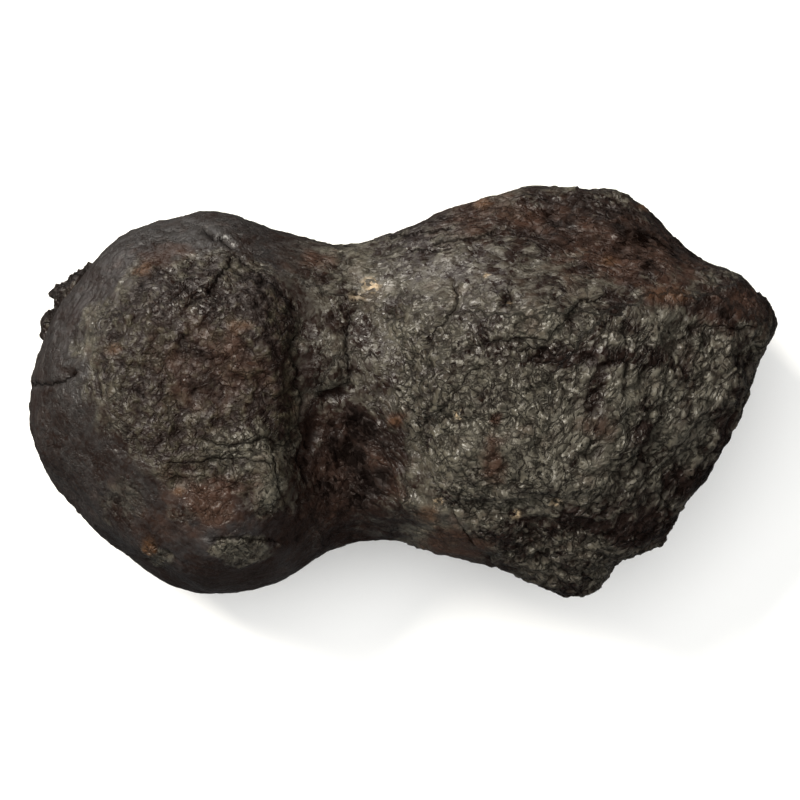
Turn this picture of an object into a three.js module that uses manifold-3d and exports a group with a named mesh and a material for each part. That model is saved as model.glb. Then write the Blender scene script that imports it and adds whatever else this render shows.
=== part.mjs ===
// An iron meteorite shaped like a peanut: a round lobe and a longer, angular lobe, joined by a
// waist. It is one piece of metal, lying on its broad side as it would on a table. Millimetres.
// X runs along its length from the round lobe to the angular one, Y runs across it and Z is up.
// The origin is on the surface that it lies on, under the middle of its bounding box.

import * as THREE from "three";
import { ImprovedNoise } from "three/addons/math/ImprovedNoise.js";
import { mergeVertices } from "three/addons/utils/BufferGeometryUtils.js";
import Module from "manifold-3d";

// The stone's outline from above, with the flange left out, from its left end over the far side.
const ROUND_LOBE_FAR_SIDE = [
  [-70, 0], [-69.6, 5], [-66.6, 11.5], [-61.4, 20.3], [-55.5, 27], [-48.5, 31],
  [-40.5, 33.5], [-33, 33.5],
];
const WAIST_FAR_SIDE = [[-25.5, 30.7], [-17.5, 28.4], [-9.5, 27.6], [-2, 29.5]];
const ANGULAR_LOBE_FAR_SIDE = [
  [6, 33.3], [14, 35.9], [22, 38.1], [30, 38.7], [38.6, 37.8], [42, 35.4],
  [45.1, 34], [49, 30.4], [53.5, 26],
];
const POINTED_END = [
  [62, 21.9], [66.8, 18], [71.2, 12.9], [68.4, 8.4], [64.8, 0], [62.9, -6], [58.5, -12.5],
  [55.6, -18.5], [51, -24.6],
];
const ANGULAR_LOBE_NEAR_SIDE = [
  [43.5, -31.2], [39, -32.9], [37.7, -36], [34.9, -38.7], [30, -37.9], [23.5, -36.2],
  [17.5, -32.4], [10.9, -30.5],
];
const WAIST_NEAR_SIDE = [[4, -29.5], [-3.3, -27.9], [-11, -29.3], [-18.8, -32.3]];
const ROUND_LOBE_NEAR_SIDE = [
  [-26.5, -36], [-35, -37.8], [-44, -37], [-49.6, -33], [-57, -26], [-63.5, -18.6],
  [-68, -11.5], [-69.6, -5.2],
];

// How far in from the outline the stone levels off, above and below its widest level.
const SHOULDER_WIDTH = 26;
const BILGE_WIDTH = 24;
const SHOULDER_POWER = 2.25; // 2 makes an elliptical shoulder, more makes a squarer one

// The two lobes and the waist: the heights of each one's underside, widest level and top, and its
// broad flats, where it broke or was swept in flight, as a point on each and the way it faces.
// Where an underside would go below 0 the stone is worn flat and rests on it.
const ROUND_LOBE = {
  underside: -1.4,
  widest: 25,
  top: 54.5,
  flats: [
    { name: "end at the waist", at: [-13, 0, 25], facing: [1, 0, 0], soft: 16 },
    { name: "worn face on top", at: [-42, -4, 51.5], facing: [0.03, -0.1, 1], soft: 4 },
    { name: "shoulder at the left end", at: [-62, 6, 38], facing: [-0.8, 0.15, 0.62], soft: 9 },
    { name: "far shoulder", at: [-45, 25, 41], facing: [-0.2, 0.75, 0.65], soft: 9 },
    { name: "near left shoulder", at: [-57, -19, 38], facing: [-0.6, -0.52, 0.62], soft: 8 },
    { name: "cliff above the waist", at: [-20.5, -6, 46], facing: [0.9, -0.05, 0.42], soft: 2.5 },
    { name: "heel", at: [-62, -8, 9], facing: [-0.62, -0.2, -0.76], soft: 8 },
    { name: "underside at the back", at: [-44, 24, 8], facing: [-0.1, 0.72, -0.7], soft: 8 },
  ],
};
const WAIST = {
  underside: 8,
  widest: 26,
  top: 42,
  flats: [
    { name: "end in the round lobe", at: [-34, 0, 25], facing: [-1, 0, 0], soft: 6 },
    { name: "end in the angular lobe", at: [14, 0, 25], facing: [1, 0, 0], soft: 6 },
  ],
};
const ANGULAR_LOBE = {
  underside: -1.2,
  widest: 24,
  top: 55.5,
  flats: [
    { name: "end at the waist", at: [-5, 0, 25], facing: [-1, 0, 0], soft: 16 },
    { name: "broad face on top", at: [22, -6, 52.5], facing: [0.05, -0.13, 1], soft: 3 },
    { name: "far bevel", at: [34, 17, 50], facing: [0.06, 0.66, 0.75], soft: 3 },
    { name: "ridged face at the right", at: [42, -4, 50.5], facing: [0.42, -0.1, 0.9], soft: 3 },
    { name: "near right bevel", at: [51, -18, 40], facing: [0.52, -0.44, 0.74], soft: 3 },
    { name: "near bevel", at: [24, -27, 43], facing: [-0.04, -0.62, 0.78], soft: 3 },
    { name: "slope down to the waist", at: [5, -14, 45], facing: [-0.72, -0.25, 0.65], soft: 3 },
    { name: "far slope down to the waist", at: [1, 19, 42], facing: [-0.5, 0.35, 0.8], soft: 6 },
    { name: "undercut below the point", at: [60, 4, 10], facing: [0.66, 0.1, -0.74], soft: 6 },
    { name: "underside at the back", at: [34, 27, 8], facing: [0.1, 0.75, -0.65], soft: 6 },
    { name: "underside at the front", at: [32, -27, 7], facing: [0.05, -0.7, -0.7], soft: 6 },
  ],
};
const JOINT_SOFTNESS = 9; // how broadly the lobes run into the waist

// Thumbprints: shallow scoops that hot air melted into the metal, placed by the direction in
// which each lies from the middle of its lobe.
const ROUND_LOBE_MIDDLE = [-43, -1, 26];
const WAIST_MIDDLE = [-9, 0, 25];
const ANGULAR_LOBE_MIDDLE = [34, 0, 25];
const THUMBPRINTS = [
  { from: ROUND_LOBE_MIDDLE, towards: [0.06, 0.02, 1], radius: 34, depth: 2.6 },
  { from: ROUND_LOBE_MIDDLE, towards: [-0.25, -0.9, 0.1], radius: 20, depth: 2.2 },
  { from: ROUND_LOBE_MIDDLE, towards: [0.35, -0.9, -0.3], radius: 16, depth: 2 },
  { from: ROUND_LOBE_MIDDLE, towards: [-0.95, -0.35, -0.05], radius: 20, depth: 1.8 },
  { from: ROUND_LOBE_MIDDLE, towards: [-0.5, 0.8, -0.25], radius: 18, depth: 2 },
  { from: ROUND_LOBE_MIDDLE, towards: [0.3, 0.95, -0.2], radius: 17, depth: 2.2 },
  { from: ROUND_LOBE_MIDDLE, towards: [0.2, 0.2, -1], radius: 22, depth: 3 },
  { from: WAIST_MIDDLE, towards: [0.1, -0.95, 0.4], radius: 15, depth: 1.5 },
  { from: WAIST_MIDDLE, towards: [0, 1, -0.3], radius: 16, depth: 2 },
  { from: ANGULAR_LOBE_MIDDLE, towards: [-0.35, -0.85, -0.15], radius: 18, depth: 2.2 },
  { from: ANGULAR_LOBE_MIDDLE, towards: [0.45, -0.8, -0.15], radius: 17, depth: 2 },
  { from: ANGULAR_LOBE_MIDDLE, towards: [0.9, -0.3, 0.05], radius: 19, depth: 2 },
  { from: ANGULAR_LOBE_MIDDLE, towards: [0.75, 0.6, -0.05], radius: 20, depth: 2.4 },
  { from: ANGULAR_LOBE_MIDDLE, towards: [0.1, 0.95, -0.1], radius: 19, depth: 2.4 },
  { from: ANGULAR_LOBE_MIDDLE, towards: [-0.6, 0.75, -0.2], radius: 17, depth: 2 },
  { from: ANGULAR_LOBE_MIDDLE, towards: [-0.1, 0.1, -1], radius: 24, depth: 3 },
];
const THUMBPRINT_RIM = 3; // how softly a scoop's rim rounds over

// Lumps and dents, each with a middle, a radius and a height, which is negative for a dent.
const LUMPS = [
  { name: "knob in the waist", at: [-14, 6, 40], radius: 9, height: 3.4 },
  { name: "hollow of the waist, near side", at: [-9, -12, 41], radius: 15, height: -4.5 },
  { name: "saddle of the waist, far side", at: [-10, 20, 38], radius: 12, height: 1.5 },
  { name: "crest along the round lobe's cliff", at: [-22, 6, 47], radius: 10, height: 2.2 },
  { name: "crest, near end", at: [-23, -16, 45], radius: 9, height: 2 },
  { name: "block beside the crack", at: [5, 13, 45], radius: 8, height: 2.2 },
  { name: "brow of the broad face", at: [27, 14, 51], radius: 12, height: 1.6 },
  { name: "cheek of the broad face", at: [16, -12, 50], radius: 10, height: 1.6 },
  { name: "dip between cheek and ridges", at: [29, -8, 51], radius: 9, height: -1.5 },
  { name: "dip by the near right edge", at: [47, -12, 42], radius: 9, height: -1.4 },
  { name: "foot of the near nub", at: [34, -34, 30], radius: 8, height: 1.2 },
];

// Ledges: the broken edges of layers, which overlap like tiles and step down in one direction.
const LEDGES = [
  {
    name: "layers on the worn face",
    at: [-31, -11, 50], radius: 17, down: [0.4, -0.9, -0.1], spacing: 6, height: 1.5,
  },
  {
    name: "terraces of the near right bevel",
    at: [50, -12, 42], radius: 25, down: [0.8, -0.6, -0.2], spacing: 8, height: 1.7,
  },
  {
    name: "plates of the broad face",
    at: [20, 4, 52], radius: 19, down: [0.2, -0.95, 0], spacing: 9, height: 1.4,
  },
  {
    name: "plates at the near edge",
    at: [24, -25, 43], radius: 15, down: [0.3, -0.7, -0.6], spacing: 7, height: 1.3,
  },
  {
    name: "plates under the far bevel",
    at: [30, 34, 24], radius: 20, down: [0.2, 0.4, -0.9], spacing: 8, height: 1.4,
  },
  {
    name: "plates at the left end",
    at: [-66, 2, 20], radius: 18, down: [-0.3, 0.3, -0.9], spacing: 8, height: 1.1,
  },
  {
    name: "plates low on the near side",
    at: [-40, -34, 16], radius: 18, down: [0.3, -0.3, -0.9], spacing: 8, height: 1.2,
  },
  {
    name: "plates under the angular lobe",
    at: [40, -14, 4], radius: 24, down: [0.9, -0.3, -0.2], spacing: 9, height: 1.4,
  },
];
const LEDGE_TREAD = 0.74; // the share of each layer that shows before its edge drops away
const LEDGE_WOBBLE = { height: 0.7, spacing: 12, seed: 5 };

// Furrows and open cracks in the upper side, each along a line seen from above.
const FURROWS = [
  {
    name: "crack beside the block",
    path: [[9.6, 19.4], [10.6, 17.2], [8.7, 12.5], [5, 8.8]], width: 2.6, depth: 1.5,
  },
  {
    name: "step below the upper plate",
    path: [[12, 8.5], [18, 8], [24, 9.4], [30, 8.6], [34, 11.5], [37, 17]], width: 2.4, depth: 1.3,
  },
  { name: "winding crack", path: [[14, 4], [10.5, 0], [8.7, -5], [5, -11]], width: 2.3, depth: 1.1 },
  { name: "crack at the near side", path: [[6, -20], [9.5, -26], [13.5, -31]], width: 2.6, depth: 1.3 },
  {
    name: "edge of the hollow",
    path: [[-1.6, 11.6], [1, 4], [2.6, -6], [4.8, -17]], width: 3, depth: 1.2,
  },
  {
    name: "groove under the knob",
    path: [[-18, 0.6], [-15, -0.3], [-11.5, 0.2], [-9, 2]], width: 2.6, depth: 1.8,
  },
  {
    name: "foot of the cliff",
    path: [[-20, 13], [-18.6, 4], [-18.2, -6], [-19, -17]], width: 3.4, depth: 1.6,
  },
  {
    name: "slanting groove on the round lobe",
    path: [[-27.5, 23], [-33, 18.6], [-39, 15], [-47, 11]], width: 2.6, depth: 1.2,
  },
  {
    name: "upright groove on the right",
    path: [[41.5, 6], [42, -2], [46, -9], [48, -15]], width: 2.6, depth: 1.2,
  },
];
const FURROW_LEVEL = 28; // no furrow reaches below this height

// The torn flange that stands out low down behind the round lobe's far left shoulder.
const FLANGE_OUTLINE = [
  [-52, 27], [-59.5, 22.6], [-61.5, 22.4], [-64, 21.2], [-66.2, 18.4], [-64.9, 15.2], [-66.3, 14.5],
  [-66.9, 13.3], [-67.1, 10.5], [-66.3, 8.4], [-54, 6],
];
const FLANGE_THICKNESS = 6;
const FLANGE_LEVEL = 13; // height of its lower face
const FLANGE_EDGE = 1.2; // how much its edge is rounded

// The roughness of the surface: how far it rises and falls, and how far apart the rises are.
const SWELL = { height: 1.3, spacing: 21, seed: 3 };
const DIMPLES = { height: 0.75, spacing: 9, seed: 7 };
const CRUST = { height: 0.45, spacing: 4.6, seed: 11 };

const MESH_DETAIL = 20; // 20 * (detail + 1)^2 triangles
const OUTLINE_STEPS = 260;
const RELAXING_ROUNDS = 14;
const RELAXING_SHARE = 0.6; // how far a vertex moves towards its neighbours' mean in each round
const IRON_CRUST = { color: 0x2e2823, roughness: 0.5, metalness: 0.35 };

const clamp = THREE.MathUtils.clamp;
const point = ([x, y, z]) => new THREE.Vector3(x, y, z);

// The larger of two values, with the crease between them rounded over a width of soft.
function softMax(a, b, soft) {
  const overlap = Math.max(soft - Math.abs(a - b), 0) / soft;
  return Math.max(a, b) + (overlap * overlap * soft) / 4;
}

const outline = new THREE.CatmullRomCurve3(
  [
    ...ROUND_LOBE_FAR_SIDE, ...WAIST_FAR_SIDE, ...ANGULAR_LOBE_FAR_SIDE, ...POINTED_END,
    ...ANGULAR_LOBE_NEAR_SIDE, ...WAIST_NEAR_SIDE, ...ROUND_LOBE_NEAR_SIDE,
  ].map(([x, y]) => new THREE.Vector3(x, y, 0)),
  true,
  "centripetal",
).getSpacedPoints(OUTLINE_STEPS);

// How far (x, y) lies in from the outline: negative outside it.
function distanceIn(x, y) {
  let nearest = Infinity;
  let inside = false;
  for (let i = 1; i < outline.length; i += 1) {
    const a = outline[i - 1];
    const b = outline[i];
    const dx = b.x - a.x;
    const dy = b.y - a.y;
    const along = clamp(((x - a.x) * dx + (y - a.y) * dy) / (dx * dx + dy * dy), 0, 1);
    nearest = Math.min(nearest, Math.hypot(x - a.x - along * dx, y - a.y - along * dy));
    if (a.y > y !== b.y > y && x < a.x + ((y - a.y) * dx) / dy) inside = !inside;
  }
  return inside ? nearest : -nearest;
}

// The outline blown up to a lobe's heights: negative inside, in about millimetres.
function roundedBody(p, inset, { underside, widest, top }) {
  const upper = p.z > widest;
  const width = upper ? SHOULDER_WIDTH : BILGE_WIDTH;
  const sideways = Math.max(1 - inset / width, 0);
  const upwards = upper ? (p.z - widest) / (top - widest) : (widest - p.z) / (widest - underside);
  const reach = (sideways ** SHOULDER_POWER + upwards ** SHOULDER_POWER) ** (1 / SHOULDER_POWER);
  return (reach - 1) * width;
}

const bodies = [ROUND_LOBE, WAIST, ANGULAR_LOBE].map(({ flats, ...levels }) => ({
  levels,
  flats: flats.map(({ at, facing, soft }) => ({
    plane: new THREE.Plane().setFromNormalAndCoplanarPoint(point(facing).normalize(), point(at)),
    soft,
  })),
}));

// The lobes and the waist, cut to their flats and run together.
function flattenedBody(p) {
  const inset = distanceIn(p.x, p.y);
  return bodies
    .map(({ levels, flats }) =>
      flats.reduce(
        (value, { plane, soft }) => softMax(value, plane.distanceToPoint(p), soft),
        roundedBody(p, inset, levels),
      ),
    )
    .reduce((a, b) => -softMax(-a, -b, JOINT_SOFTNESS));
}

// Walks from a point inside along a direction to where the field turns positive.
const MARCH_STEP = 1.5;
const MARCH_LIMIT = 75;
const HALVINGS = 14;
function surfaceFrom(field, start, direction) {
  let near = 0;
  while (near < MARCH_LIMIT) {
    const ahead = start.clone().addScaledVector(direction, near + MARCH_STEP);
    if (field(ahead) > 0) break;
    near += MARCH_STEP;
  }
  let far = near + MARCH_STEP;
  for (let i = 0; i < HALVINGS; i += 1) {
    const middle = (near + far) / 2;
    if (field(start.clone().addScaledVector(direction, middle)) > 0) far = middle;
    else near = middle;
  }
  return start.clone().addScaledVector(direction, near);
}

const scoops = THUMBPRINTS.map(({ from, towards, radius, depth }) => {
  const direction = point(towards).normalize();
  const middle = surfaceFrom(flattenedBody, point(from), direction);
  return { middle: middle.addScaledVector(direction, radius - depth), radius };
});

const lumps = LUMPS.map(({ at, radius, height }) => ({ middle: point(at), radius, height }));

const noise = new ImprovedNoise();
const NOISE_OFFSET = 31.7; // moves the noise off its own grid's origin
function roughness(p, { height, spacing, seed }) {
  const s = 1 / spacing;
  return height * noise.noise(p.x * s + NOISE_OFFSET, p.y * s + seed, p.z * s - NOISE_OFFSET);
}

// 1 at a form's middle, falling smoothly to 0 at its radius.
function shareOf(p, { middle, radius }) {
  const share = Math.max(1 - p.distanceToSquared(middle) / (radius * radius), 0);
  return share * share;
}

const ledges = LEDGES.map(({ at, down, ...sizes }) => ({
  middle: point(at),
  down: point(down).normalize(),
  ...sizes,
}));

// Each layer rises slowly along its tread and drops at its edge.
function ledgeRise(p, ledge) {
  const steps = p.dot(ledge.down) / ledge.spacing + roughness(p, LEDGE_WOBBLE);
  const along = steps - Math.floor(steps);
  const rise = along < LEDGE_TREAD ? along / LEDGE_TREAD : (1 - along) / (1 - LEDGE_TREAD);
  return ledge.height * (rise - 0.5) * Math.sqrt(shareOf(p, ledge));
}

const furrows = FURROWS.map(({ path, width, depth }) => ({
  stretches: path.slice(1).map((end, i) => {
    const start = path[i];
    return new THREE.Line3(new THREE.Vector3(...start, 0), new THREE.Vector3(...end, 0));
  }),
  width,
  depth,
}));

function furrowDepth(p, { stretches, width, depth }) {
  if (p.z < FURROW_LEVEL) return 0;
  const below = new THREE.Vector3(p.x, p.y, 0);
  const distances = stretches.map((line) =>
    line.closestPointToPoint(below, true, new THREE.Vector3()).distanceTo(below),
  );
  const nearest = Math.min(...distances);
  return depth * Math.max(1 - nearest / width, 0) ** 1.5;
}

// The whole stone: negative inside.
function stone(p) {
  let value = flattenedBody(p);
  for (const { middle, radius } of scoops) {
    value = softMax(value, radius - p.distanceTo(middle), THUMBPRINT_RIM);
  }
  for (const lump of lumps) value -= lump.height * shareOf(p, lump);
  for (const ledge of ledges) value -= ledgeRise(p, ledge);
  for (const furrow of furrows) value += furrowDepth(p, furrow);
  return value - roughness(p, SWELL) - roughness(p, DIMPLES) + Math.abs(roughness(p, CRUST));
}

const GRADIENT_STEP = 0.05;
function slope(p) {
  const value = stone(p);
  const along = (axis) => stone(p.clone().addScaledVector(axis, GRADIENT_STEP)) - value;
  const gradient = new THREE.Vector3(
    along(new THREE.Vector3(1, 0, 0)),
    along(new THREE.Vector3(0, 1, 0)),
    along(new THREE.Vector3(0, 0, 1)),
  ).divideScalar(GRADIENT_STEP);
  return { value, gradient };
}

// Each vertex's neighbours, from an index of triangles.
function neighboursOf(index, count) {
  const neighbours = Array.from({ length: count }, () => new Set());
  for (let i = 0; i < index.length; i += 3) {
    for (let k = 0; k < 3; k += 1) {
      const a = index[i + k];
      const b = index[i + ((k + 1) % 3)];
      neighbours[a].add(b);
      neighbours[b].add(a);
    }
  }
  return neighbours.map((set) => [...set]);
}

// A ball's mesh drawn out over the stone, then evened out while it is kept on the surface.
function stoneGeometry() {
  const ball = new THREE.IcosahedronGeometry(1, MESH_DETAIL);
  ball.deleteAttribute("normal");
  ball.deleteAttribute("uv");
  const geometry = mergeVertices(ball);
  const position = geometry.getAttribute("position");
  const roundCentre = point(ROUND_LOBE_MIDDLE);
  const angularCentre = point(ANGULAR_LOBE_MIDDLE);
  let vertices = [];
  for (let i = 0; i < position.count; i += 1) {
    const direction = new THREE.Vector3().fromBufferAttribute(position, i);
    const start = roundCentre.clone().lerp(angularCentre, (direction.x + 1) / 2);
    vertices.push(surfaceFrom(stone, start, direction));
  }
  const neighbours = neighboursOf(geometry.index.array, position.count);
  for (let round = 0; round < RELAXING_ROUNDS; round += 1) {
    vertices = vertices.map((vertex, i) => {
      const mean = new THREE.Vector3();
      neighbours[i].forEach((j) => mean.add(vertices[j]));
      mean.divideScalar(neighbours[i].length);
      const moved = vertex.clone().lerp(mean, RELAXING_SHARE);
      const { value, gradient } = slope(moved);
      return moved.addScaledVector(gradient, -value / gradient.lengthSq());
    });
  }
  vertices.forEach((v, i) => position.setXYZ(i, v.x, v.y, v.z));
  return geometry;
}

function flangeGeometry() {
  const shape = new THREE.Shape(FLANGE_OUTLINE.map(([x, y]) => new THREE.Vector2(x, y)));
  const geometry = new THREE.ExtrudeGeometry(shape, {
    depth: FLANGE_THICKNESS - 2 * FLANGE_EDGE,
    bevelThickness: FLANGE_EDGE,
    bevelSize: FLANGE_EDGE,
    bevelOffset: -FLANGE_EDGE,
    bevelSegments: 1,
  });
  return geometry.translate(0, 0, FLANGE_LEVEL + FLANGE_EDGE);
}

const wasm = await Module();
wasm.setup();
const MERGE_DISTANCE = 1e-4;

function solidFrom(geometry) {
  const bare = geometry.clone();
  bare.deleteAttribute("normal");
  bare.deleteAttribute("uv");
  const merged = mergeVertices(bare, MERGE_DISTANCE);
  return new wasm.Manifold(
    new wasm.Mesh({
      numProp: 3,
      vertProperties: merged.getAttribute("position").array,
      triVerts: new Uint32Array(merged.index.array),
    }),
  );
}

function geometryFrom(solid) {
  const { vertProperties, triVerts } = solid.getMesh();
  const geometry = new THREE.BufferGeometry();
  geometry.setAttribute("position", new THREE.BufferAttribute(vertProperties, 3));
  geometry.setIndex(new THREE.BufferAttribute(triVerts, 1));
  geometry.computeVertexNormals();
  return geometry;
}

// A block under the surface that the stone lies on: what it takes away is the resting flats.
function groundBlock() {
  const width = 300;
  const depth = 60;
  return new THREE.BoxGeometry(width, width, depth).translate(0, 0, -depth / 2);
}

const rough = solidFrom(stoneGeometry()).add(solidFrom(flangeGeometry()));
const rested = rough.subtract(solidFrom(groundBlock()));
const geometry = geometryFrom(rested);
geometry.computeBoundingBox();
const middle = geometry.boundingBox.getCenter(new THREE.Vector3());
geometry.translate(-middle.x, -middle.y, 0);

const meteorite = new THREE.Mesh(geometry, new THREE.MeshStandardMaterial(IRON_CRUST));
meteorite.name = "meteorite";

const group = new THREE.Group();
group.name = "iron_meteorite";
group.add(meteorite);

export default group;
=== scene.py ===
"""An iron meteorite with a dark, oiled crust, modelled over its solid and lit as a specimen.

The stone is one piece. Its crust is carved point by point over a fine mesh of the solid, and what
each point shows is stored beside it for the material. Lengths are in metres unless a name ends in
_mm or a comment says otherwise.
"""

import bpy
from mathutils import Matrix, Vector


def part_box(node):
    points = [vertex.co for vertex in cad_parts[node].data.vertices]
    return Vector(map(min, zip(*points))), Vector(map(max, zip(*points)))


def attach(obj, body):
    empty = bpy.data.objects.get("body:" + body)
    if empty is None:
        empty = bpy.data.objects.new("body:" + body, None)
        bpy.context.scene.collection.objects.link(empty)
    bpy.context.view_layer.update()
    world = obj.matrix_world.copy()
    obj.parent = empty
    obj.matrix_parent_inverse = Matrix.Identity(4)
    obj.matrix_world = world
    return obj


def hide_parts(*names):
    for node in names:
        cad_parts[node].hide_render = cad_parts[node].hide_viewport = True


bl_info = {
    "name": "Iron Meteorite",
    "version": (1, 0, 0),
    "blender": (4, 5, 0),
    "location": "3D View > Sidebar > Meteorite",
    "description": "Models the crust of an iron meteorite and its pale studio stage",
    "category": "Object",
}

import bmesh
import bpy
import numpy as np
from bpy.props import FloatProperty, FloatVectorProperty, IntProperty, PointerProperty
from mathutils import Vector, noise
from mathutils.kdtree import KDTree

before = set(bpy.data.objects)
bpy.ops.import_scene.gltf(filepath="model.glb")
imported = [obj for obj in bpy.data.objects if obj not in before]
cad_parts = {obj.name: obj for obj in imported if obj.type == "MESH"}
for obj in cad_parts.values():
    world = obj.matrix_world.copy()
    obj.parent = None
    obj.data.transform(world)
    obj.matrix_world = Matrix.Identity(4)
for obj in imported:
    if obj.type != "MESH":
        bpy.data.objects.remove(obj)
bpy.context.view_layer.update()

MM = 0.001
SOLID = "meteorite"
BODY = "root"
OUTLINE_LEVEL_MM = 25  # height of the stone's widest level, where its outline shows
MOST_TRIANGLES = 192_000

# The side that the photograph shows fades out where the surface turns down and at the stone's foot:
# the spans of the normal's upward part, and of the height, over which it comes in.
UPPER_FACING = (-0.5, -0.1)
UPPER_LEVEL_MM = (9, 16)

# Shifts of the crust's sides, out from the solid's or in: middle as seen from straight above, the
# shift, and how far it reaches, all in millimetres.
PUSHES = [
    ((-49.0, 32.0), (0.2, -0.8), 7), ((-38.0, 35.0), (0.0, -2.0), 9), ((-24.0, 33.5), (0.0, -2.1), 9),
    ((-11.0, 29.0), (0.0, -1.1), 7), ((4.0, 33.0), (0.0, -3.4), 8), ((14.0, 37.0), (0.0, -1.8), 7),
    ((40.5, 37.0), (0.0, 0.9), 5), ((63.0, 21.0), (0.8, 1.4), 6), ((-60.0, 20.0), (1.2, -0.4), 6),
    ((-68.5, -10.5), (-1.9, -0.5), 8), ((-50.0, -32.0), (0.0, -1.3), 8), ((-31.0, -38.5), (0.0, 0.7), 8),
    ((3.5, -29.5), (0.0, 1.2), 6), ((46.0, -29.0), (1.2, -1.6), 7), ((62.0, -6.0), (1.0, -0.3), 8),
]

# Zones of the upper side, each an outline in millimetres as it shows from straight above.
WORN_FACE = [
    (-49.3, 21.9), (-39.9, 24.3), (-28.7, 24.3), (-22.2, 19.1), (-19.9, 11.6), (-19.3, -1.5),
    (-19.7, -10.8), (-21.6, -22.0), (-26.4, -22.0), (-31.5, -18.2), (-38.0, -16.4), (-42.7, -18.3),
    (-47.4, -14.6), (-53.0, -7.1), (-58.7, -1.5), (-59.1, 7.9), (-54.9, 15.3),
]
BROAD_FACE = [
    (-1.6, 19.1), (12.4, 20.2), (36.7, 16.5), (46.1, 13.6), (66.6, 11.8), (74.0, 10.0), (70.0, -6.0),
    (58.0, -20.0), (48.0, -30.0), (38.0, -41.0), (30.0, -42.0), (18.0, -31.0), (9.5, -24.0), (4.5, -17.0),
    (2.0, -9.0), (-1.5, 2.0), (-4.0, 11.0),
]

# The low, jagged flange beyond the round shoulder, and the level above which the shoulder hides it.
FLANGE = [(-70.0, 8.0), (-58.0, 8.0), (-55.0, 16.0), (-56.0, 26.0), (-66.0, 28.0)]
FLANGE_TOP_MM = 22

# Zones where the flakes run one way: middle and reach in millimetres as seen from straight above,
# the direction, and how much longer than wide the flakes are.
RUNS = [
    ((22.0, 27.0), (50.0, 13.0), (1.0, 0.05, 0.0), 1.5),
    ((52.0, -8.0), (26.0, 27.0), (0.55, 0.84, 0.0), 1.55),
    ((-9.0, -12.0), (10.0, 20.0), (-0.5, 0.86, 0.0), 1.7),
]

# Cracks and ledges of the upper side: the line of each, the depth of the groove along it and the
# height of the ground on its left, all in millimetres.
CRACKS = [
    ([(4.6, 9.3), (5.7, 10.7), (8.3, 13.6), (9.4, 15.5), (10.4, 17.0), (9.8, 19.1)], 0.7, 0.7),
    ([(12.8, 8.8), (17.9, 9.5), (24.0, 10.1), (26.8, 9.5), (28.9, 12.3), (32.2, 16.4),
      (36.7, 17.6)], 0.5, 1.0),
    ([(4.0, -5.4), (6.4, -4.1), (8.3, -2.2), (10.0, 0.2), (11.9, 3.2), (14.3, 4.9)], 0.6, 0.5),
    ([(19.3, 3.6), (19.5, 2.1), (19.0, 0.7), (19.9, -0.4)], 0.6, 0.2),
    ([(23.1, 2.6), (23.3, 1.1), (24.0, 0.0)], 0.6, 0.2),
    ([(41.8, 5.2), (41.6, 2.6)], 0.7, 0.2),
    ([(42.0, -6.0), (41.8, -8.2)], 0.7, 0.2),
    ([(-2.1, 28.8), (3.1, 29.5), (8.5, 30.1)], 0.3, 0.4),
    ([(1.8, 26.4), (5.0, 26.4), (8.5, 26.7)], 0.3, 0.3),
    ([(6.1, 28.0), (13.6, 28.8), (17.1, 30.1)], 0.3, 0.5),
    ([(5.9, -16.4), (7.8, -20.2), (9.8, -23.4), (12.4, -27.7), (15.8, -31.0)], 0.7, 0.6),
    ([(21.2, -10.8), (22.2, -13.1), (21.8, -15.5), (20.7, -17.8)], 0.5, 0.2),
    ([(-18.6, -16.5), (-20.1, -12.5), (-18.9, -9.0), (-20.0, -5.2), (-18.7, -1.5), (-20.4, 1.3),
      (-20.0, 4.5), (-21.3, 7.5), (-20.0, 11.8)], 0.7, 0.6),
    ([(-15.8, 0.2), (-13.4, 0.7), (-10.6, 1.3), (-10.2, 3.7)], 0.6, 0.9),
    ([(-10.4, 3.7), (-10.6, 8.8), (-10.2, 14.4)], 0.4, 0.3),
    ([(-40.3, 16.3), (-37.1, 18.7), (-34.7, 20.9), (-32.1, 24.3)], 0.7, 0.6),
    ([(-30.4, 24.9), (-24.4, 19.6), (-20.1, 15.3)], 0.5, 0.4),
    ([(-70.0, 1.3), (-66.1, 1.5), (-63.8, 1.9), (-62.7, 2.6), (-61.2, 3.7)], 0.7, 0.4),
    ([(-43.5, -13.3), (-38.2, -12.9), (-30.9, -12.1), (-25.3, -13.6)], 0.3, 0.5),
    ([(-37.1, -9.0), (-32.1, -10.1), (-26.4, -8.4), (-22.3, -10.1)], 0.3, 0.5),
    ([(-22.7, -19.6), (-23.8, -15.5), (-24.6, -12.5)], 0.5, 0.5),
    ([(-23.8, -28.0), (-28.7, -27.7), (-31.7, -27.3), (-35.6, -27.7)], 0.4, 0.5),
    ([(-36.7, 30.1), (-35.2, 28.6)], 1.2, 0.1),
    ([(-33.7, 28.4), (-31.7, 26.9)], 1.2, 0.1),
    ([(46.4, -7.9), (48.3, -3.0), (49.4, 5.0)], 0.4, 0.4),
    ([(39.7, -23.9), (44.2, -17.9), (49.4, -12.3), (55.4, -5.2)], 0.4, 0.5),
    ([(55.4, -14.6), (60.3, -7.1), (63.3, 2.2)], 0.3, 0.5),
    ([(56.2, 12.3), (61.0, 11.6), (65.1, 12.3)], 0.4, 0.4),
    ([(18.4, 16.3), (19.3, 18.3), (20.3, 15.9)], 0.5, 0.3),
]

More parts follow.
